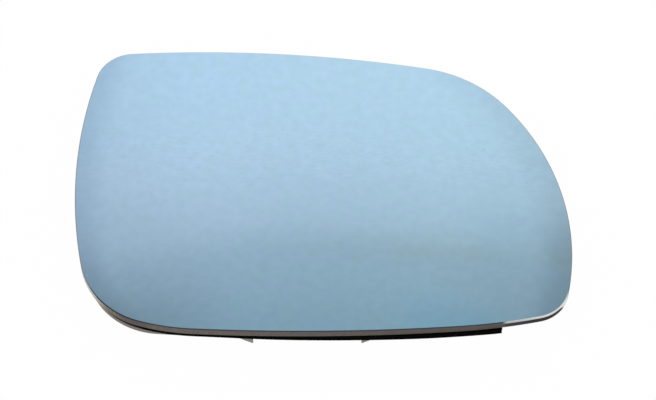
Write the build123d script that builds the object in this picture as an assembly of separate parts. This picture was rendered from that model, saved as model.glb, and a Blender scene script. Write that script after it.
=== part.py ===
from build123d import *
from math import asin, degrees, radians, sqrt, tan
import os

# Car door mirror glass on its backing plate, all sizes in millimetres.
# It lies on its back: Z is the axis of the snap ring, the glass looks up, and the ring's rim stands on z = 0.

# Outline of the glass from the front: four corners, joined by side arcs and then rounded.
# The lower side is a long arc between two knees.
# From each knee a tighter arc goes on smoothly to its corner.
lower_left_x = -72.5
lower_left_y = -43.8
left_knee_x = -37.8
left_knee_y = -54.4
right_knee_x = 50.8
right_knee_y = -53.2
lower_right_x = 85.6
lower_right_y = -46.8
upper_right_x = 55.6
upper_right_y = 50.0
upper_left_x = -72.3
upper_left_y = 59.4
bottom_bulge = 1.7            # of the arc from knee to knee
right_bulge = 15.8
top_bulge = 3.7
left_bulge = 7.7
lower_left_radius = 29.8
lower_right_radius = 13.3
upper_right_radius = 45.7
upper_left_radius = 12.7

# Mirror glass
mirror_radius = 1400.0        # radius of the convex front, a usual value for a door mirror
glass_thickness = 3.5
front_chamfer = 0.3
back_chamfer = 0.3

# Foam pad between glass and plate
pad_thickness = 2.5
pad_inset = 0.5               # pad behind the edge of the glass
pad_right_drop = 1.1          # the pad was laid a little askew, so it shows more under the glass at the right
pad_corner_growth = 2.6       # the pad's lower left corner is rounder than that of the glass
pad_end_x = 65.1              # square end of the wide part
pad_end_inset = 4.0           # right of that end the pad keeps this far inside the glass

# Base of the backing plate
base_thickness = 2.0
base_inset = 3.0              # base behind the edge of the glass
base_corner_drop = 7.7        # its lower left corner is fuller than that of the glass ...
base_knee_drop = 1.0          # ... and its left knee lies lower, so that the corner shows under the pad
base_end_gap = 4.0            # wide part of the base ends this far left of the pad's end
base_end_inset = 6.5

# Snap ring that grips the round head of the mirror's drive
ring_height = 12.0            # rim to the back of the base on the axis
ring_radius = 52.9
ring_wall = 2.6
ring_gap = 36.6               # open stretch at the bottom of the ring
tongue_count = 8
tongue_angle = 18.0
slit_width = 1.2
slit_depth = 7.0
bead_height = 1.0             # how far a bead stands in from the ring's inner wall
bead_lead = 0.9               # sloped lead from the rim up to the bead's land
bead_land = 1.2
bead_back = 1.2               # slope above the land

# Small break of the moulding's edges: the ring's rim, and the least radius of a corner drawn far in
edge_break = 0.6

# Ribs on the back of the base
rib_height = 3.0
rib_width = 1.6
edge_rib_inset = 9.0          # edge rib behind the edge of the glass
hub_radius = 22.0

# Levels and radii that follow from the sizes above
glass_back = glass_thickness
pad_back = glass_back + pad_thickness
base_back = pad_back + base_thickness
base_middle = pad_back + base_thickness / 2
rib_back = base_back + rib_height
apex_height = ring_height + base_back
sphere_centre = apex_height - mirror_radius
ring_inner_radius = ring_radius - ring_wall
bead_radius = ring_inner_radius - bead_height
reach = 2 * ring_radius + apex_height


def side_circle(start, end, bulge):
    """Centre and radius of the side arc from one corner to the next."""
    chord = end - start
    radius = (chord.length**2 / 4 + bulge**2) / (2 * bulge)
    inward = Vector(-chord.Y, chord.X).normalized()
    return start + chord / 2 + inward * (radius - bulge), radius


def smooth_circle(side, start, end):
    """Centre and radius of the arc that leaves a side smoothly at the start and goes through the end."""
    inward = (side[0] - start).normalized()
    chord = end - start
    radius = chord.length**2 / (2 * chord.dot(inward))
    return start + inward * radius, radius


def corner_centre(before, after, radius, corner):
    """Centre of the corner arc that touches two sides from inside."""
    first_reach = before[1] - radius
    second_reach = after[1] - radius
    gap = after[0] - before[0]
    along = (first_reach**2 - second_reach**2 + gap.length**2) / (2 * gap.length)
    across = sqrt(first_reach**2 - along**2)
    forward = gap.normalized()
    sideways = Vector(-forward.Y, forward.X) * across
    middle = before[0] + forward * along
    return min(middle + sideways, middle - sideways, key=lambda point: (point - corner).length)


def point_towards(circle, target):
    """Point of a circle in the direction of the target."""
    return circle[0] + (target - circle[0]).normalized() * circle[1]


def short_arc(circle, start, end):
    """Arc of a circle from start to end."""
    return ThreePointArc(start, point_towards(circle, (start + end) / 2), end)


def rounded_corner(before, after, radius, corner):
    """Arc that rounds the corner between two sides, and the two points where it touches them."""
    radius = max(radius, edge_break)
    centre = corner_centre(before, after, radius, corner)
    start = point_towards(before, centre)
    end = point_towards(after, centre)
    return short_arc((centre, radius), start, end), start, end


def outline(inset=0.0, corner_drop=0.0, left_drop=0.0, right_drop=0.0, corner_radius=lower_left_radius):
    """Rounded face drawn in by the inset, whose lower corners and knees can be moved down."""
    lower_left = Vector(lower_left_x, lower_left_y - corner_drop)
    left_knee = Vector(left_knee_x, left_knee_y - left_drop)
    right_knee = Vector(right_knee_x, right_knee_y - right_drop)
    lower_right = Vector(lower_right_x, lower_right_y - right_drop)
    upper_right = Vector(upper_right_x, upper_right_y)
    upper_left = Vector(upper_left_x, upper_left_y)
    bottom = side_circle(left_knee, right_knee, bottom_bulge)
    bottom_left = smooth_circle(bottom, left_knee, lower_left)
    bottom_right = smooth_circle(bottom, right_knee, lower_right)
    right = side_circle(lower_right, upper_right, right_bulge)
    top = side_circle(upper_right, upper_left, top_bulge)
    left = side_circle(upper_left, lower_left, left_bulge)
    sides = (bottom_left, bottom, bottom_right, right, top, left)
    drawn_in = [(centre, radius - inset) for centre, radius in sides]
    bottom_left, bottom, bottom_right, right, top, left = drawn_in
    first_arc, left_end, bottom_start = rounded_corner(left, bottom_left, corner_radius - inset, lower_left)
    second_arc, bottom_end, right_start = rounded_corner(
        bottom_right, right, lower_right_radius - inset, lower_right
    )
    third_arc, right_end, top_start = rounded_corner(right, top, upper_right_radius - inset, upper_right)
    fourth_arc, top_end, left_start = rounded_corner(top, left, upper_left_radius - inset, upper_left)
    first_knee = point_towards(bottom, left_knee)
    second_knee = point_towards(bottom, right_knee)
    arcs = [
        first_arc,
        short_arc(bottom_left, bottom_start, first_knee),
        short_arc(bottom, first_knee, second_knee),
        short_arc(bottom_right, second_knee, bottom_end),
        second_arc,
        short_arc(right, right_start, right_end),
        third_arc,
        short_arc(top, top_start, top_end),
        fourth_arc,
        short_arc(left, left_start, left_end),
    ]
    return make_face(arcs)


def left_of(x):
    """Large rectangle that ends on the right at x."""
    return Pos(x, 0) * Rectangle(2 * reach, 2 * reach, align=(Align.MAX, Align.CENTER))


def ball(depth):
    """Ball whose surface runs everywhere at this depth below the front of the glass."""
    return Pos(0, 0, sphere_centre) * Rot(90, 0, 0) * Sphere(mirror_radius - depth)


def dome(plan, front, back):
    """Solid under a plan between two depths below the front of the glass."""
    column = extrude(plan, amount=apex_height + reach)
    return (column & ball(front)) - ball(back)


def large_faces(pane):
    """The back and the front of a pane, in this order."""
    return pane.faces().sort_by(SortBy.AREA)[-2:].sort_by(Axis.Z)


def mirror_glass():
    """Domed pane with its front and back edges broken."""
    pane = dome(outline(), 0, glass_back)
    front_face = large_faces(pane)[1]
    pane = chamfer(front_face.edges(), front_chamfer)
    back_face = large_faces(pane)[0]
    return chamfer(back_face.edges(), back_chamfer)


def foam_pad():
    """Pad with a wide part that shows under the glass and a set back right end."""
    corner_radius = lower_left_radius + pad_corner_growth
    wide = outline(pad_inset, right_drop=pad_right_drop, corner_radius=corner_radius)
    narrow = outline(pad_end_inset)
    plan = (wide & left_of(pad_end_x)) + narrow
    return dome(plan, glass_back, pad_back)


def plate_base():
    """Domed base of the plate, with the same set back right end."""
    wide = outline(base_inset, base_corner_drop, base_knee_drop)
    narrow = outline(base_end_inset)
    plan = (wide & left_of(pad_end_x - base_end_gap)) + narrow
    return dome(plan, pad_back, base_back)


def tongue_step():
    """Angle from one spring tongue to the next over the closed stretch of the ring."""
    half_gap_angle = degrees(asin(ring_gap / 2 / ring_radius))
    return (360 - 2 * half_gap_angle) / tongue_count


def tongue_angles():
    """Middle angles of the tongues, alike on both sides of the gap."""
    first = 90 - tongue_step() * (tongue_count - 1) / 2
    return [first + index * tongue_step() for index in range(tongue_count)]


def rib_angles():
    """Angles of the straight ribs: the ends of the ring and the stiff walls between the tongues."""
    first = 90 - tongue_step() * tongue_count / 2
    return [first + index * tongue_step() for index in range(tongue_count + 1)]


def ring_wall_solid():
    """Upright wall of the ring with broken rim edges, let into the base and open at the bottom."""
    profile = Polyline(
        (ring_inner_radius + edge_break, 0),
        (ring_radius - edge_break, 0),
        (ring_radius, edge_break),
        (ring_radius, apex_height),
        (ring_inner_radius, apex_height),
        (ring_inner_radius, edge_break),
        close=True,
    )
    wall = revolve(Plane.XZ * make_face(profile), Axis.Z) & ball(base_middle)
    gap = Box(ring_gap, reach, reach, align=(Align.CENTER, Align.MAX, Align.CENTER))
    return wall - gap


def bead_solids():
    """One bead on each tongue: a sloped lead, a flat land and a slope behind it."""
    land_end = bead_lead + bead_land
    profile = Polyline(
        (ring_inner_radius + ring_wall / 2, 0),
        (ring_inner_radius + edge_break, 0),
        (bead_radius, bead_lead),
        (bead_radius, land_end),
        (ring_inner_radius, land_end + bead_back),
        (ring_inner_radius + ring_wall / 2, land_end + bead_back),
        close=True,
    )
    full_bead = revolve(Plane.XZ * make_face(profile), Axis.Z)
    half_width = reach * tan(radians(tongue_angle / 2))
    sector = make_face(Polyline((0, 0), (reach, -half_width), (reach, half_width), close=True))
    wedge = extrude(sector, amount=reach)
    return [full_bead & (Rot(0, 0, angle) * wedge) for angle in tongue_angles()]


def slit_solids():
    """Slits on both sides of each tongue, cut in from the rim."""
    beside = tongue_angle / 2 + degrees(slit_width / 2 / ring_inner_radius)
    slit = Pos(ring_radius, 0, 0) * Box(4 * ring_wall, slit_width, 2 * slit_depth)
    return [Rot(0, 0, angle + side * beside) * slit for angle in tongue_angles() for side in (-1, 1)]


def rib_solid():
    """Edge rib, hub ring and straight ribs as one web that follows the dome."""
    loop_outside = outline(edge_rib_inset)
    loop_inside = outline(edge_rib_inset + rib_width)
    hub = Circle(hub_radius) - Circle(hub_radius - rib_width)
    bar = Pos(hub_radius - rib_width, 0) * Rectangle(reach, rib_width, align=(Align.MIN, Align.CENTER))
    bars = [(Rot(0, 0, angle) * bar) & loop_outside for angle in rib_angles()]
    plan = (loop_outside - loop_inside) + hub + bars
    return dome(plan, base_middle, rib_back)


def backing_plate():
    """One moulding of base, ribs and snap ring."""
    plate = plate_base() + rib_solid() + ring_wall_solid() + bead_solids()
    return plate - slit_solids()


os.makedirs("parts", exist_ok=True)
export_step(mirror_glass(), "parts/mirror_glass.step")
export_step(foam_pad(), "parts/foam_pad.step")
export_step(backing_plate(), "parts/backing_plate.step")
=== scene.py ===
from collections import namedtuple
from math import atan2, ceil, cos, exp, pi, radians, sin, sqrt
import bmesh
import bpy
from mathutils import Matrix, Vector, noise


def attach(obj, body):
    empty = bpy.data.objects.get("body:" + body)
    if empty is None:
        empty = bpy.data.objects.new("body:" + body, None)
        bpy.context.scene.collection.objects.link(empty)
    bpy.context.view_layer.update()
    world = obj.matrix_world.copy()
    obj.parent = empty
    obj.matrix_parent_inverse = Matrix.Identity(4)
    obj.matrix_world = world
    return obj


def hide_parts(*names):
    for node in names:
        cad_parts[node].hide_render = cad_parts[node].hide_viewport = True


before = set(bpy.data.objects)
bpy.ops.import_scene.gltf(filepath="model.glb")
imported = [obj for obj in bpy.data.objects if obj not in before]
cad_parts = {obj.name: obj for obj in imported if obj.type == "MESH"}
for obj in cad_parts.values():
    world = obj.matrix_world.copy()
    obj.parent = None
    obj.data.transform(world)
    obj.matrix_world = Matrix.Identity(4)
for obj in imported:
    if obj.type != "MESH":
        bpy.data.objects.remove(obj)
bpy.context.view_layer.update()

Circle = namedtuple("Circle", "centre radius")
Arc = namedtuple("Arc", "circle start end")
Patch = namedtuple("Patch", "middle reach bottom top tint")

# Lengths are in millimetres, angles in degrees, and colours in linear red, green and blue.
# A pair of places or angles says where a change starts and where it is complete.
# A pair of colours or other numbers gives the two ends of what varies.
MM = 0.001

# Outline of the glass, as in the part's source
LOWER_LEFT = Vector((-72.5, -43.8))
LEFT_KNEE = Vector((-37.8, -54.4))
RIGHT_KNEE = Vector((50.8, -53.2))
LOWER_RIGHT = Vector((85.6, -46.8))
UPPER_RIGHT = Vector((55.6, 50.0))
UPPER_LEFT = Vector((-72.3, 59.4))
BOTTOM_BULGE = 1.7
RIGHT_BULGE = 15.8
TOP_BULGE = 3.7
LEFT_BULGE = 7.7
LOWER_LEFT_RADIUS = 29.8
LOWER_RIGHT_RADIUS = 13.3
UPPER_RIGHT_RADIUS = 45.7
UPPER_LEFT_RADIUS = 12.7

# Dome, depths and chamfers, as in the part's source
MIRROR_RADIUS = 1400.0
APEX_HEIGHT = 20.0
GLASS_BACK = 3.5              # depths are measured from the front of the glass
PAD_BACK = 6.0
FRONT_CHAMFER = 0.3
BACK_CHAMFER = 0.3
SKIN = 0.012                  # the drawn pane keeps this far inside the CAD pane

# Foam pad, as in the part's source
PAD_INSET = 0.5
PAD_RIGHT_DROP = 1.1
PAD_CORNER_GROWTH = 2.6
PAD_END_X = 65.1
PAD_END_INSET = 4.0

# Cut edge of the foam
CUT_HOLLOW = 0.12
CUT_ROUGHNESS = 0.05
CUT_ROUGH_SIZE = 1.5
CUT_ROUGH_LAYERS = 4          # the roughness changes this much faster through the foam than along it
CUT_WANDER = 0.25
CUT_WANDER_PLACES = ((-31, 15), (55, 11))  # x and reach of each place where the cut wanders inwards

# Fineness of the meshes, and the floor
OUTLINE_STEP = 1.2
FACE_RINGS = 24
PAD_WALL_RINGS = 8
FLOOR_RADIUS = 4000.0
FLOOR_SEGMENTS = 96

# Camera at the photo's viewing angle, for an image of 656 by 400
IMAGE_WIDTH = 656
FOCAL_PIXELS = 2342.6
CAMERA_TARGET = Vector((7.0, -4.5, 20.0))
CAMERA_DISTANCE = 800.0
CAMERA_ELEVATION = 57

# Noise: its usual range and detail
NOISE_RANGE = (0.3, 0.7)
NOISE_DETAIL = 3

# Coat: a blue that changes a little and unevenly from left to right
COAT_LEFT = (0.404, 0.579, 0.757)
COAT_RIGHT = (0.396, 0.588, 0.731)
COAT_CHANGE_X = (-70, 60)
COAT_CHANGE_SHIFT = 70
COAT_CHANGE_SIZE = 5

# Coat: faint clouds, and fine streaks in a wiped band
CLOUD_SIZE = 3.2
CLOUD_DETAIL = 8
CLOUD_DEPTH = 0.032
STREAK_SIZE = 0.9
STREAK_DETAIL = 1
STREAK_STRETCH = (0.35, 1, 1)
STREAK_DEPTH = 0.022
WIPED_Y = 14
WIPED_REACH = (20, 6)

# Coat: roughness in long wipes
WIPE_SIZE = 9
WIPE_STRETCH = (0.3, 1, 1)
WIPE_RANGE = (0.3, 0.8)
WIPE_ROUGHNESS = (0.03, 0.09)

# Coat: painted darker reflection, tinted in near the left and right sides and at the lower left corner
SHADED_REFLECTION_LEFT = (0.84, 0.862, 0.885)
SHADED_REFLECTION_LEFT_WIDTH = 13
SHADED_REFLECTION_RIGHT = (0.74, 0.74, 0.74)
SHADED_REFLECTION_RIGHT_WIDTH = 15
SHADED_REFLECTION_RIGHT_Y = (-22, 0)
SHADED_REFLECTION_RIGHT_ABOVE = 0.35       # share of the right side's painted darker reflection that is left further up
SHADED_REFLECTION_CORNER = (0.895, 0.895, 0.895)
SHADED_REFLECTION_CORNER_WIDTH = 9
SHADED_REFLECTION_CORNER_X = (-48, -62)
SHADED_REFLECTION_CORNER_Y = (-16, -30)
SHADED_REFLECTION_HALF_X = (30, 65)        # places on either half between which the painted darker reflection comes in

# Painted light through the edge of the glass at the lower right, where no foam lies behind it
THROUGH_X = (PAD_END_X - 0.6, PAD_END_X + 1.7)
THROUGH_Y = (-37, -42)
THROUGH_LEFT = (0.60, 0.62, 0.64)
THROUGH_RIGHT = (0.88, 0.88, 0.87)
THROUGH_CHANGE_X = (68, 82)

# Ground chamfers: pale as lit at the sides, with painted shade along the lower side that is darkest at its
# left end
CHAMFER_PALE = ((0.20, 0.235, 0.25), (0.25, 0.285, 0.30))
CHAMFER_DARK = ((0.030, 0.027, 0.032), (0.055, 0.050, 0.053))
CHAMFER_DARK_Y = (-32, -43)
CHAMFER_DARKEST = (0.008, 0.008, 0.012)
CHAMFER_DARKEST_X = (-50, -62)
CHAMFER_PATCH_SIZE = 3
CHAMFER_ROUGHNESS = (0.30, 0.42)
CHAMFER_ROUGHNESS_SIZE = 1.2
CHAMFER_SPECULAR = 0.3
CHAMFER_PIT_SIZE = 0.4
CHAMFER_PIT_DEPTH = 0.01

# Ground edge: grey brown and lighter to the left as painted light, with a stain, and painted light through
# the glass at the lower left corner
EDGE_LEFT = (0.170, 0.142, 0.131)
EDGE_RIGHT = (0.110, 0.095, 0.088)
EDGE_CHANGE_X = (-70, 70)
STAIN = (0.118, 0.098, 0.092)
STAIN_X = -57.5
STAIN_REACH = (6.5, 3)
CORNER_Y = (-25, -33)
# Painted light through the glass at the lower left corner, palest nearest the corner
CORNER_LIGHT = (0.25, 0.212, 0.175)
CORNER_LIGHT_X = (-62.5, -67)
PALE = (0.80, 0.77, 0.66)
PALE_X = (-66, -73.5)
EDGE_ROUGHNESS = (0.45, 0.60)
EDGE_SPECULAR = 0.12

# Ground edge: marks of the wheel
MARK = (0.06, 0.055, 0.05)
MARK_SHARE = 0.35
MARK_SIZE = 0.5
MARK_STRETCH = (1, 1, 0.2)
MARK_DEPTH = 0.02

# Ground edge: where light comes through, painted light on its upper part and painted shadow below, but
# painted light on all of it round the corner
LIT_DEPTH = (1.1, 0.7)
LIT_DEEPER = 3.0
LIT_DEEPER_Y = (-45.2, -41.8)
SHADOW_LEFT = (0.035, 0.027, 0.030)
SHADOW_RIGHT = (0.006, 0.004, 0.005)
SHADOW_CHANGE_X = (70, 80)

# Dark paint on the back of the glass
BACK_PAINT = ((0.030, 0.032, 0.035), (0.045, 0.047, 0.050))
BACK_PATCH_SIZE = 6
BACK_ROUGHNESS = (0.25, 0.40)
BACK_ROUGHNESS_SIZE = 2

# Foam, its black deepened as painted shade, and lighter at its left end
FOAM = ((0.0004, 0.0004, 0.0004), (0.0012, 0.0012, 0.0012))
FOAM_CELL_SIZE = 0.35
FOAM_CELL_RANGE = (0.1, 0.6)
FOAM_CELL_DEPTH = 0.08
FOAM_LEFT_END = (0.050, 0.042, 0.036)
FOAM_LEFT_END_X = (-54, -64)
FOAM_ROUGHNESS = 0.95
FOAM_SPECULAR = 0.02

# Plastic of the plate, darker on its base than on its ring as painted shade under the glass
PLASTIC_RING = ((0.29, 0.257, 0.222), (0.34, 0.303, 0.265))
PLASTIC_BASE = ((0.165, 0.145, 0.118), (0.195, 0.172, 0.142))
PLASTIC_BASE_Z = (6.5, 9.5)
PLASTIC_PATCH_SIZE = 12
PLASTIC_ROUGHNESS = (0.45, 0.60)
PLASTIC_GRAIN_SIZE = 0.25
PLASTIC_GRAIN_DETAIL = 2
PLASTIC_GRAIN_DEPTH = 0.01

# White of the floor
FLOOR_COLOUR = (0.86, 0.86, 0.86)
FLOOR_GLOW = (1, 1, 1)
FLOOR_GLOW_SHARE = 0.985      # the rest keeps the shadow

# Room: heights above the floor's level with their brightness, and a cooler colour where it is dim
ZENITH = 90
ROOM_LEVELS = (
    (0, 0.98), (50, 0.98), (53, 0.94), (55, 0.89), (57, 0.81), (58.5, 0.75),
    (60, 0.63), (62, 0.58), (64, 0.52), (68, 0.48), (78, 0.56), (ZENITH, 0.62),
)
ROOM_STRENGTH = 1.15
COOL_LEVEL = 0.85
COOL_MOST = 0.33
COOL_RED = 1.1
COOL_BLUE = 0.1

# Room: dimmer to either side, up to the ceiling
CEILING = (78, 66)
SIDES_MIDDLE = 1
SIDES_REACH = (8, 26)
SIDES_LEVEL = 0.8

# Room: a dull level bar behind the part, by its slopes upwards and sideways
BAR_RISE = 1.735
BAR_HALF_HEIGHT = 0.08
BAR_SIDEWAYS = (-0.08, 0.2)
BAR_TINT = (0.96, 0.945, 0.89)
BAR_NOISE_SCALE = 28
BAR_NOISE_RANGE = (0.35, 0.62)
BAR_UNEVENNESS = (0.5, 1.25)

# Room: soft tinted patches
PATCHES = (
    Patch(middle=-24, reach=(18, 4), bottom=(60, 63), top=CEILING, tint=(0.86, 0.86, 0.86)),
    Patch(middle=15.5, reach=(8, 2), bottom=(61.6, 63.4), top=CEILING, tint=(0.84, 0.975, 1.03)),
    Patch(middle=20, reach=(8, 3), bottom=(55.8, 57.4), top=(60.4, 59.2), tint=(0.935, 0.965, 0.98)),
    Patch(middle=-13, reach=(14, 6), bottom=(30, 40), top=(54.5, 50.5), tint=(0.965, 0.985, 0.985)),
)


# Outline of the glass

def side_circle(start, end, bulge):
    """Circle of the side from one corner to the next."""
    chord = end - start
    radius = (chord.length_squared / 4 + bulge**2) / (2 * bulge)
    inward = Vector((-chord.y, chord.x)).normalized()
    return Circle(start + chord / 2 + inward * (radius - bulge), radius)


def smooth_circle(side, start, end):
    """Circle that leaves a side smoothly at the start and goes through the end."""
    inward = (side.centre - start).normalized()
    chord = end - start
    radius = chord.length_squared / (2 * chord.dot(inward))
    return Circle(start + inward * radius, radius)


def side_circles(right_drop=0.0):
    """Circles of the lower side's left, middle and right arcs and of the right, top and left sides."""
    right_knee = RIGHT_KNEE - Vector((0, right_drop))
    lower_right = LOWER_RIGHT - Vector((0, right_drop))
    bottom = side_circle(LEFT_KNEE, right_knee, BOTTOM_BULGE)
    bottom_left = smooth_circle(bottom, LEFT_KNEE, LOWER_LEFT)
    bottom_right = smooth_circle(bottom, right_knee, lower_right)
    right = side_circle(lower_right, UPPER_RIGHT, RIGHT_BULGE)
    top = side_circle(UPPER_RIGHT, UPPER_LEFT, TOP_BULGE)
    left = side_circle(UPPER_LEFT, LOWER_LEFT, LEFT_BULGE)
    return bottom_left, bottom, bottom_right, right, top, left


def corner_circle(before, after, radius, corner):
    """Circle of a corner that touches two sides from inside."""
    first_reach = before.radius - radius
    second_reach = after.radius - radius
    gap = after.centre - before.centre
    along = (first_reach**2 - second_reach**2 + gap.length_squared) / (2 * gap.length)
    across = sqrt(first_reach**2 - along**2)
    forward = gap.normalized()
    sideways = Vector((-forward.y, forward.x)) * across
    middle = before.centre + forward * along
    centre = min(middle + sideways, middle - sideways, key=lambda point: (point - corner).length)
    return Circle(centre, radius)


def point_towards(circle, target):
    """Point of a circle in the direction of the target."""
    return circle.centre + (target - circle.centre).normalized() * circle.radius


def rounded_corner(before, after, radius, corner):
    """Arc that rounds a corner between the points where it touches the two sides."""
    circle = corner_circle(before, after, radius, corner)
    return Arc(circle, point_towards(before, circle.centre), point_towards(after, circle.centre))


def arc_points(arc):
    """Points of an arc from its start up to, but without, its end."""
    centre, radius = arc.circle
    first = atan2(arc.start.y - centre.y, arc.start.x - centre.x)
    last = atan2(arc.end.y - centre.y, arc.end.x - centre.x)
    turn = (last - first + pi) % (2 * pi) - pi
    count = ceil(abs(turn) * radius / OUTLINE_STEP)
    angles = [first + turn * index / count for index in range(count)]
    return [centre + Vector((cos(angle), sin(angle))) * radius for angle in angles]


def outline(inset=0.0, right_drop=0.0, corner_radius=LOWER_LEFT_RADIUS):
    """Points of the rounded outline, drawn in by the inset, counterclockwise from the lower left corner."""
    drop = Vector((0, right_drop))
    sides = [Circle(centre, radius - inset) for centre, radius in side_circles(right_drop)]
    bottom_left, bottom, bottom_right, right, top, left = sides
    lower_left = rounded_corner(left, bottom_left, corner_radius - inset, LOWER_LEFT)
    lower_right = rounded_corner(bottom_right, right, LOWER_RIGHT_RADIUS - inset, LOWER_RIGHT - drop)
    upper_right = rounded_corner(right, top, UPPER_RIGHT_RADIUS - inset, UPPER_RIGHT)
    upper_left = rounded_corner(top, left, UPPER_LEFT_RADIUS - inset, UPPER_LEFT)
    left_knee = point_towards(bottom, LEFT_KNEE)
    right_knee = point_towards(bottom, RIGHT_KNEE - drop)
    arcs = (
        lower_left,
        Arc(bottom_left, lower_left.end, left_knee),
        Arc(bottom, left_knee, right_knee),
        Arc(bottom_right, right_knee, lower_right.start),
        lower_right,
        Arc(right, lower_right.end, upper_right.start),
        upper_right,
        Arc(top, upper_right.end, upper_left.start),
        upper_left,
        Arc(left, upper_left.end, lower_left.start),
    )
    return [point for arc in arcs for point in arc_points(arc)]


def drawn_in(points, width):
    """Closed counterclockwise line of points, moved inwards by a width."""
    moved = []
    for index, point in enumerate(points):
        tangent = points[(index + 1) % len(points)] - points[index - 1]
        outward = Vector((tangent.y, -tangent.x)).normalized()
        moved.append(point - outward * width)
    return moved


def cut_at(points, x):
    """Points right of x in order, between the two places where the line crosses x, and the rest likewise."""
    crossings = []
    for index, point in enumerate(points):
        following = points[(index + 1) % len(points)]
        if (point.x < x) != (following.x < x):
            share = (x - point.x) / (following.x - point.x)
            crossings.append((index, point.lerp(following, share)))
    (first, low), (second, high) = crossings
    right = [low] + points[first + 1:second + 1] + [high]
    left = [high] + points[second + 1:] + points[:first + 1] + [low]
    return right, left


# Meshes

def on_dome(point, depth):
    """Point of the plan, lifted to a depth below the front of the glass, in metres."""
    radius = MIRROR_RADIUS - depth
    height = APEX_HEIGHT - MIRROR_RADIUS + sqrt(radius**2 - point.length_squared)
    return Vector((point.x, point.y, height)) * MM


def dome_ring(points, depth):
    """Closed line of points on the dome at one depth."""
    return [on_dome(point, depth) for point in points]


def face_rings(points, depth):
    """Rings of a domed face, from near its middle out to the points."""
    steps = range(1, FACE_RINGS + 1)
    return [dome_ring([point * step / FACE_RINGS for point in points], depth) for step in steps]


def mesh_of_rings(name, rings, zones, materials):
    """Closed mesh from rings with equal counts of points; zones give the material of each band."""
    mesh = bmesh.new()
    loops = [[mesh.verts.new(point) for point in ring] for ring in rings]
    for lower, upper, zone in zip(loops, loops[1:], zones):
        for index in range(len(lower)):
            corners = (lower[index - 1], lower[index], upper[index], upper[index - 1])
            mesh.faces.new(corners).material_index = zone
    mesh.faces.new(loops[0]).material_index = zones[0]
    mesh.faces.new(loops[-1]).material_index = zones[-1]
    bmesh.ops.recalc_face_normals(mesh, faces=mesh.faces)
    for face in mesh.faces:
        face.smooth = True
    for edge in mesh.edges:
        edge.smooth = len({face.material_index for face in edge.link_faces}) == 1
    data = bpy.data.meshes.new(name)
    mesh.to_mesh(data)
    mesh.free()
    for material in materials:
        data.materials.append(material)
    piece = bpy.data.objects.new(name, data)
    bpy.context.scene.collection.objects.link(piece)
    return piece


# Nodes

def new_material(name):
    """Material with its nodes, and its main shader."""
    material = bpy.data.materials.new(name)
    material.use_nodes = True
    return material, material.node_tree, material.node_tree.nodes["Principled BSDF"]


def connect(tree, value, socket):
    """Give an input a link, a colour or another value."""
    if isinstance(value, bpy.types.NodeSocket):
        tree.links.new(value, socket)
    elif socket.type == "RGBA":
        socket.default_value = (*value, 1)
    else:
        socket.default_value = value


def node(tree, kind, inputs):
    """New node with links or values for its inputs, which are named or counted."""
    new = tree.nodes.new(kind)
    for key, value in inputs.items():
        connect(tree, value, new.inputs[key])
    return new


def calc(tree, operation, first, second=0.0):
    """Result of an operation on one or two numbers."""
    new = node(tree, "ShaderNodeMath", {0: first, 1: second})
    new.operation = operation
    return new.outputs[0]


def product(tree, first, *factors):
    """Product of some numbers."""
    for factor in factors:
        first = calc(tree, "MULTIPLY", first, factor)
    return first


def away_from(tree, value, middle):
    """How far a number is from a middle."""
    return calc(tree, "ABSOLUTE", calc(tree, "SUBTRACT", value, middle))


def vector_product(tree, first, second):
    """Two vectors or colours multiplied part by part."""
    new = node(tree, "ShaderNodeVectorMath", {0: first, 1: second})
    new.operation = "MULTIPLY"
    return new.outputs["Vector"]


def spread(tree, value, start, end, before, after, smooth=False):
    """Number mapped from one range to another, and held at its ends."""
    new = node(tree, "ShaderNodeMapRange", {0: value, 1: start, 2: end, 3: before, 4: after})
    new.interpolation_type = "SMOOTHSTEP" if smooth else "LINEAR"
    return new.outputs[0]


def fade(tree, value, places, before=0, after=1, smooth=True):
    """Number that changes between two places on the part."""
    start, end = places
    return spread(tree, value, start * MM, end * MM, before, after, smooth)


def fade_angle(tree, value, angles, before=0, after=1):
    """Number that changes smoothly between two angles."""
    start, end = angles
    return spread(tree, value, radians(start), radians(end), before, after, smooth=True)


def position(tree, stretch=(1, 1, 1)):
    """Place on the part in metres, stretched for grain that runs one way."""
    place = tree.nodes.new("ShaderNodeTexCoord").outputs["Object"]
    return node(tree, "ShaderNodeMapping", {"Vector": place, "Scale": stretch}).outputs[0]


def axes(tree):
    """X, Y and Z of the place on the part in metres."""
    return node(tree, "ShaderNodeSeparateXYZ", {"Vector": position(tree)}).outputs


def cloud(tree, size, detail=NOISE_DETAIL, stretch=(1, 1, 1)):
    """Soft noise whose patches have about this size."""
    inputs = {"Vector": position(tree, stretch), "Scale": 1 / (size * MM), "Detail": detail}
    return node(tree, "ShaderNodeTexNoise", inputs).outputs["Fac"]


def uneven(tree, noise_value, low, high):
    """Noise spread between two numbers."""
    return spread(tree, noise_value, *NOISE_RANGE, low, high)


def blend(tree, share, first, second):
    """Colour between two, by a share."""
    new = tree.nodes.new("ShaderNodeMix")
    new.data_type = "RGBA"
    connect(tree, share, new.inputs["Factor"])
    slots = [socket for socket in new.inputs if socket.type == "RGBA"]
    for slot, colour in zip(slots, (first, second)):
        connect(tree, colour, slot)
    return [socket for socket in new.outputs if socket.type == "RGBA"][0]


def tinted(tree, share, colour, tint):
    """Colour multiplied by a tint where the share is one."""
    return blend(tree, share, colour, vector_product(tree, colour, tint))


def mottled(tree, size, colours):
    """Colour that varies between two, in patches of about this size."""
    return blend(tree, cloud(tree, size), *colours)


def bump(tree, shader, height, depth):
    """Relief of this depth."""
    new = node(tree, "ShaderNodeBump", {"Height": height, "Distance": depth * MM})
    tree.links.new(new.outputs[0], shader.inputs["Normal"])


# Looks of the glass

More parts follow.
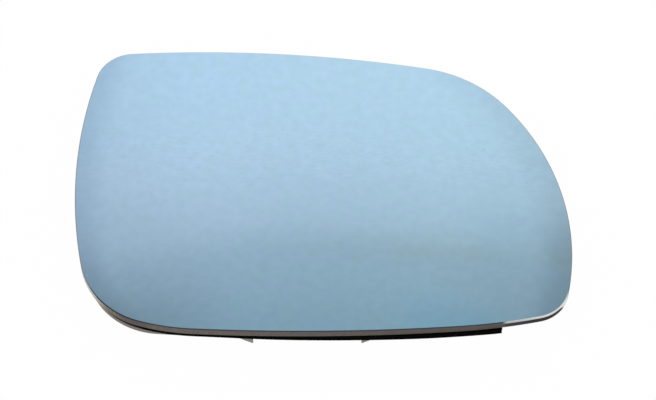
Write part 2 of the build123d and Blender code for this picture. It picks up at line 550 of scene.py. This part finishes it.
def near_arc(tree, circle, width, half):
    """Share that rises over a width up to an arc of the outline, on the left (-1) or right (1) half."""
    centre = circle.centre * MM
    flat = vector_product(tree, position(tree), (1, 1, 0))
    reach = node(tree, "ShaderNodeVectorMath", {0: flat, 1: (centre.x, centre.y, 0)})
    reach.operation = "DISTANCE"
    near = fade(tree, reach.outputs["Value"], (circle.radius - width, circle.radius))
    beside = fade(tree, product(tree, axes(tree)["X"], half), SHADED_REFLECTION_HALF_X)
    return product(tree, near, beside)


def painted_darker_reflection(tree, colour):
    """Colour with painted darker reflection near the left and right sides and at the lower left corner."""
    place = axes(tree)
    bottom_left, _, _, right, _, left = side_circles()
    corner = corner_circle(left, bottom_left, LOWER_LEFT_RADIUS, LOWER_LEFT)
    at_left = near_arc(tree, left, SHADED_REFLECTION_LEFT_WIDTH, -1)
    further_up = fade(tree, place["Y"], SHADED_REFLECTION_RIGHT_Y, 1, SHADED_REFLECTION_RIGHT_ABOVE)
    at_right = product(tree, near_arc(tree, right, SHADED_REFLECTION_RIGHT_WIDTH, 1), further_up)
    low = fade(tree, place["Y"], SHADED_REFLECTION_CORNER_Y)
    outer = fade(tree, place["X"], SHADED_REFLECTION_CORNER_X)
    at_corner = product(tree, near_arc(tree, corner, SHADED_REFLECTION_CORNER_WIDTH, -1), low, outer)
    colour = tinted(tree, at_left, colour, SHADED_REFLECTION_LEFT)
    colour = tinted(tree, at_right, colour, SHADED_REFLECTION_RIGHT)
    return tinted(tree, at_corner, colour, SHADED_REFLECTION_CORNER)


def mirror_coat():
    """Blue reflecting coat, a little clouded and wiped, with painted darker reflection near its sides and
    lower left corner.
    """
    material, tree, shader = new_material("mirror_coat")
    place = axes(tree)
    shift = uneven(tree, cloud(tree, COAT_CHANGE_SIZE), -COAT_CHANGE_SHIFT * MM, COAT_CHANGE_SHIFT * MM)
    change = fade(tree, calc(tree, "ADD", place["X"], shift), COAT_CHANGE_X)
    colour = blend(tree, change, COAT_LEFT, COAT_RIGHT)
    clouds = uneven(tree, cloud(tree, CLOUD_SIZE, CLOUD_DETAIL), 1 - CLOUD_DEPTH, 1 + CLOUD_DEPTH)
    streak_noise = cloud(tree, STREAK_SIZE, STREAK_DETAIL, STREAK_STRETCH)
    streaks = uneven(tree, streak_noise, -STREAK_DEPTH, STREAK_DEPTH)
    wiped = fade(tree, away_from(tree, place["Y"], WIPED_Y * MM), WIPED_REACH)
    shade = calc(tree, "ADD", clouds, product(tree, streaks, wiped))
    colour = painted_darker_reflection(tree, vector_product(tree, colour, shade))
    tree.links.new(colour, shader.inputs["Base Color"])
    shader.inputs["Metallic"].default_value = 1
    wipes = cloud(tree, WIPE_SIZE, stretch=WIPE_STRETCH)
    tree.links.new(spread(tree, wipes, *WIPE_RANGE, *WIPE_ROUGHNESS), shader.inputs["Roughness"])
    return material


def beyond_foam(tree):
    """One at the lower right, where no foam lies behind the edge of the glass, and nought elsewhere."""
    place = axes(tree)
    return product(tree, fade(tree, place["X"], THROUGH_X), fade(tree, place["Y"], THROUGH_Y))


def light_through(tree):
    """Colour of the painted light that comes through the glass beyond the foam, brighter to the right."""
    return blend(tree, fade(tree, axes(tree)["X"], THROUGH_CHANGE_X), THROUGH_LEFT, THROUGH_RIGHT)


def depth_in_glass(tree):
    """Depth below the domed front in metres."""
    place = axes(tree)
    squares = calc(tree, "ADD", product(tree, place["X"], place["X"]), product(tree, place["Y"], place["Y"]))
    fall = calc(tree, "DIVIDE", squares, 2 * MIRROR_RADIUS * MM)
    return calc(tree, "SUBTRACT", calc(tree, "SUBTRACT", APEX_HEIGHT * MM, fall), place["Z"])


def ground_chamfer():
    """Fine ground chamfer, whose painted brightness follows what lies behind it: painted shade along the
    lower side and painted light beyond the foam.
    """
    material, tree, shader = new_material("ground_chamfer")
    place = axes(tree)
    pale = mottled(tree, CHAMFER_PATCH_SIZE, CHAMFER_PALE)
    dark = mottled(tree, CHAMFER_PATCH_SIZE, CHAMFER_DARK)
    dark = blend(tree, fade(tree, place["X"], CHAMFER_DARKEST_X), dark, CHAMFER_DARKEST)
    colour = blend(tree, fade(tree, place["Y"], CHAMFER_DARK_Y), pale, dark)
    colour = blend(tree, beyond_foam(tree), colour, light_through(tree))
    tree.links.new(colour, shader.inputs["Base Color"])
    roughness = uneven(tree, cloud(tree, CHAMFER_ROUGHNESS_SIZE), *CHAMFER_ROUGHNESS)
    tree.links.new(roughness, shader.inputs["Roughness"])
    shader.inputs["Specular IOR Level"].default_value = CHAMFER_SPECULAR
    bump(tree, shader, cloud(tree, CHAMFER_PIT_SIZE), CHAMFER_PIT_DEPTH)
    return material


def edge_colour(tree):
    """Grey brown of the ground edge over the foam, lighter to the left as painted light, with its stain and
    painted light through the glass at its lower left corner.
    """
    place = axes(tree)
    colour = blend(tree, fade(tree, place["X"], EDGE_CHANGE_X), EDGE_LEFT, EDGE_RIGHT)
    stained = fade(tree, away_from(tree, place["X"], STAIN_X * MM), STAIN_REACH)
    colour = blend(tree, stained, colour, STAIN)
    low = fade(tree, place["Y"], CORNER_Y)
    colour = blend(tree, product(tree, low, fade(tree, place["X"], CORNER_LIGHT_X)), colour, CORNER_LIGHT)
    return blend(tree, product(tree, low, fade(tree, place["X"], PALE_X)), colour, PALE)


def lit_edge(tree):
    """Colour of the ground edge beyond the foam: painted light above and painted shadow below."""
    place = axes(tree)
    deeper = fade(tree, place["Y"], LIT_DEEPER_Y, 0, LIT_DEEPER * MM)
    upper = fade(tree, calc(tree, "SUBTRACT", depth_in_glass(tree), deeper), LIT_DEPTH, smooth=False)
    shadow_change = fade(tree, place["X"], SHADOW_CHANGE_X, smooth=False)
    shadow = blend(tree, shadow_change, SHADOW_LEFT, SHADOW_RIGHT)
    return blend(tree, upper, shadow, light_through(tree))


def ground_edge():
    """Ground edge of the glass with fine marks of the wheel, and painted light and shade."""
    material, tree, shader = new_material("ground_edge")
    marks = cloud(tree, MARK_SIZE, stretch=MARK_STRETCH)
    colour = blend(tree, uneven(tree, marks, 0, MARK_SHARE), edge_colour(tree), MARK)
    colour = blend(tree, beyond_foam(tree), colour, lit_edge(tree))
    tree.links.new(colour, shader.inputs["Base Color"])
    tree.links.new(uneven(tree, marks, *EDGE_ROUGHNESS), shader.inputs["Roughness"])
    shader.inputs["Specular IOR Level"].default_value = EDGE_SPECULAR
    bump(tree, shader, marks, MARK_DEPTH)
    return material


def back_paint():
    """Dark paint on the back of the glass."""
    material, tree, shader = new_material("back_paint")
    tree.links.new(mottled(tree, BACK_PATCH_SIZE, BACK_PAINT), shader.inputs["Base Color"])
    roughness = uneven(tree, cloud(tree, BACK_ROUGHNESS_SIZE), *BACK_ROUGHNESS)
    tree.links.new(roughness, shader.inputs["Roughness"])
    return material


# Looks of the foam, the plate and the floor

def foam():
    """Black closed-cell foam, its black deepened as painted shade, and lighter at its left end."""
    material, tree, shader = new_material("foam")
    inputs = {"Vector": position(tree), "Scale": 1 / (FOAM_CELL_SIZE * MM)}
    cells = node(tree, "ShaderNodeTexVoronoi", inputs).outputs["Distance"]
    colour = blend(tree, spread(tree, cells, *FOAM_CELL_RANGE, 0, 1), *FOAM)
    colour = blend(tree, fade(tree, axes(tree)["X"], FOAM_LEFT_END_X), colour, FOAM_LEFT_END)
    tree.links.new(colour, shader.inputs["Base Color"])
    shader.inputs["Roughness"].default_value = FOAM_ROUGHNESS
    shader.inputs["Specular IOR Level"].default_value = FOAM_SPECULAR
    bump(tree, shader, cells, FOAM_CELL_DEPTH)
    return material


def plate_plastic():
    """Warm grey moulded plastic with a fine grain, darker on its base as painted shade under the glass."""
    material, tree, shader = new_material("plate_plastic")
    ring = mottled(tree, PLASTIC_PATCH_SIZE, PLASTIC_RING)
    base = mottled(tree, PLASTIC_PATCH_SIZE, PLASTIC_BASE)
    colour = blend(tree, fade(tree, axes(tree)["Z"], PLASTIC_BASE_Z), ring, base)
    tree.links.new(colour, shader.inputs["Base Color"])
    grain = cloud(tree, PLASTIC_GRAIN_SIZE, PLASTIC_GRAIN_DETAIL)
    tree.links.new(uneven(tree, grain, *PLASTIC_ROUGHNESS), shader.inputs["Roughness"])
    bump(tree, shader, grain, PLASTIC_GRAIN_DEPTH)
    return material


def floor_white():
    """White floor that stays white to the camera and in reflections, and keeps a soft shadow."""
    material, tree, shader = new_material("floor_white")
    tree.nodes.remove(shader)
    diffuse = node(tree, "ShaderNodeBsdfDiffuse", {"Color": FLOOR_COLOUR})
    glow = node(tree, "ShaderNodeEmission", {"Color": FLOOR_GLOW, "Strength": 1})
    path = tree.nodes.new("ShaderNodeLightPath").outputs
    seen = calc(tree, "MAXIMUM", path["Is Camera Ray"], path["Is Glossy Ray"])
    seen = calc(tree, "MAXIMUM", seen, path["Is Transmission Ray"])
    share = product(tree, seen, FLOOR_GLOW_SHARE)
    mix = node(tree, "ShaderNodeMixShader", {0: share, 1: diffuse.outputs[0], 2: glow.outputs[0]})
    tree.links.new(mix.outputs[0], tree.nodes["Material Output"].inputs["Surface"])
    return material


# Pieces

def make_glass():
    """Domed pane with its ground edge and chamfers, standing for the CAD pane."""
    edge = outline(SKIN)
    front_rings = face_rings(drawn_in(edge, FRONT_CHAMFER), SKIN)
    edge_rings = [dome_ring(edge, FRONT_CHAMFER), dome_ring(edge, GLASS_BACK - BACK_CHAMFER)]
    back_rings = face_rings(drawn_in(edge, BACK_CHAMFER), GLASS_BACK)
    rings = front_rings + edge_rings + back_rings[::-1]
    materials = [mirror_coat(), ground_chamfer(), ground_edge(), back_paint()]
    coat, chamfer, side, back = range(len(materials))
    face_bands = FACE_RINGS - 1
    zones = [coat] * face_bands + [chamfer, side, chamfer] + [back] * face_bands
    piece = mesh_of_rings("mirror_pane", rings, zones, materials)
    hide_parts("mirror_glass")
    return piece


def cut_wander(x):
    """How far the cut edge of the foam wanders inwards at this x."""
    return sum(CUT_WANDER * exp(-((x - middle) / reach)**2) for middle, reach in CUT_WANDER_PLACES)


def cut_ring(points, share):
    """Ring of the foam's hollow, rough and wandering cut edge, at a share of its thickness."""
    depth = GLASS_BACK + (PAD_BACK - GLASS_BACK) * share
    ring = []
    for point in points:
        place = Vector((point.x, point.y, CUT_ROUGH_LAYERS * depth)) / CUT_ROUGH_SIZE
        rough = CUT_ROUGHNESS * (1 + noise.noise(place)) / 2
        inwards = CUT_HOLLOW * sin(pi * share) + rough + cut_wander(point.x)
        ring.append(on_dome(point * (1 - inwards / point.length), depth))
    return ring


def make_pad():
    """Die-cut foam, standing for the CAD pad."""
    wide = outline(PAD_INSET, PAD_RIGHT_DROP, LOWER_LEFT_RADIUS + PAD_CORNER_GROWTH)
    narrow = outline(PAD_END_INSET)
    end, _ = cut_at(narrow, PAD_END_X)
    _, body = cut_at(wide, PAD_END_X)
    edge = end + body
    front_rings = face_rings(edge, GLASS_BACK)[:-1]
    cut_rings = [cut_ring(edge, step / PAD_WALL_RINGS) for step in range(PAD_WALL_RINGS + 1)]
    back_rings = face_rings(edge, PAD_BACK)[:-1]
    rings = front_rings + cut_rings + back_rings[::-1]
    piece = mesh_of_rings("foam_sheet", rings, [0] * (len(rings) - 1), [foam()])
    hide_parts("foam_pad")
    return piece


def dress_plate():
    """The CAD plate with its plastic."""
    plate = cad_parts["backing_plate"]
    plate.data.materials.clear()
    plate.data.materials.append(plate_plastic())


def make_floor():
    """Wide floor at the level of the ring's rim."""
    mesh = bmesh.new()
    bmesh.ops.create_circle(mesh, cap_ends=True, segments=FLOOR_SEGMENTS, radius=FLOOR_RADIUS * MM)
    data = bpy.data.meshes.new("floor")
    mesh.to_mesh(data)
    mesh.free()
    data.materials.append(floor_white())
    floor = bpy.data.objects.new("floor", data)
    bpy.context.scene.collection.objects.link(floor)


# Light

def level_colour(level):
    """Grey of a level, a little cooler where it is dim."""
    cool = min(max(COOL_LEVEL - level, 0), COOL_MOST)**2
    return (level * (1 - COOL_RED * cool), level, level * (1 + COOL_BLUE * cool), 1)


def room_colour(tree, height):
    """Colour of the room by height."""
    ramp = tree.nodes.new("ShaderNodeValToRGB")
    tree.links.new(calc(tree, "DIVIDE", height, radians(ZENITH)), ramp.inputs["Fac"])
    stops = ramp.color_ramp.elements
    (_, lowest), *between, (_, highest) = ROOM_LEVELS
    for angle, level in between:
        stops.new(angle / ZENITH).color = level_colour(level)
    stops[0].color = level_colour(lowest)
    stops[-1].color = level_colour(highest)
    return ramp.outputs["Color"]


def room_strength(tree, side, height):
    """Strength of the room's light, which falls to either side of the part."""
    away = away_from(tree, side, radians(SIDES_MIDDLE))
    away = product(tree, away, fade_angle(tree, height, CEILING))
    return product(tree, fade_angle(tree, away, SIDES_REACH, 1, SIDES_LEVEL), ROOM_STRENGTH)


def dull_bar(tree, direction, parts):
    """Share of an uneven level bar behind the part, from the middle to the right."""
    rise = calc(tree, "DIVIDE", parts["Z"], parts["Y"])
    sideways = calc(tree, "DIVIDE", parts["X"], parts["Y"])
    near = spread(tree, away_from(tree, rise, BAR_RISE), BAR_HALF_HEIGHT, 0, 0, 1, smooth=True)
    right = spread(tree, sideways, *BAR_SIDEWAYS, 0, 1, smooth=True)
    inputs = {"Vector": direction, "Scale": BAR_NOISE_SCALE, "Detail": NOISE_DETAIL}
    clouds = node(tree, "ShaderNodeTexNoise", inputs).outputs["Fac"]
    return product(tree, near, right, spread(tree, clouds, *BAR_NOISE_RANGE, *BAR_UNEVENNESS))


def room_patch(tree, side, height, patch):
    """Share of a soft patch of the room."""
    across = fade_angle(tree, away_from(tree, side, radians(patch.middle)), patch.reach)
    return product(tree, across, fade_angle(tree, height, patch.bottom), fade_angle(tree, height, patch.top))


def make_world():
    """Room with bright walls and a greyer upper part, which the coat reflects."""
    world = bpy.data.worlds.new("studio")
    bpy.context.scene.world = world
    world.use_nodes = True
    tree = world.node_tree
    direction = tree.nodes.new("ShaderNodeTexCoord").outputs["Generated"]
    parts = node(tree, "ShaderNodeSeparateXYZ", {"Vector": direction}).outputs
    height = calc(tree, "ARCSINE", parts["Z"])
    side = calc(tree, "ARCTAN2", parts["X"], parts["Y"])
    colour = tinted(tree, dull_bar(tree, direction, parts), room_colour(tree, height), BAR_TINT)
    for patch in PATCHES:
        colour = tinted(tree, room_patch(tree, side, height, patch), colour, patch.tint)
    background = tree.nodes["Background"]
    tree.links.new(colour, background.inputs["Color"])
    tree.links.new(room_strength(tree, side, height), background.inputs["Strength"])


def make_camera():
    """Camera in front of and above the glass."""
    camera = bpy.data.cameras.new("camera")
    camera.sensor_fit = "HORIZONTAL"
    camera.lens = FOCAL_PIXELS * camera.sensor_width / IMAGE_WIDTH
    eye = bpy.data.objects.new("camera", camera)
    elevation = radians(CAMERA_ELEVATION)
    back = Vector((0, -cos(elevation), sin(elevation)))
    eye.location = (CAMERA_TARGET + back * CAMERA_DISTANCE) * MM
    eye.rotation_euler = (-back).to_track_quat("-Z", "Y").to_euler()
    bpy.context.scene.collection.objects.link(eye)
    bpy.context.scene.camera = eye


make_camera()
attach(make_glass(), "root")
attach(make_pad(), "root")
dress_plate()
make_floor()
make_world()
bpy.context.scene.view_settings.view_transform = "Standard"
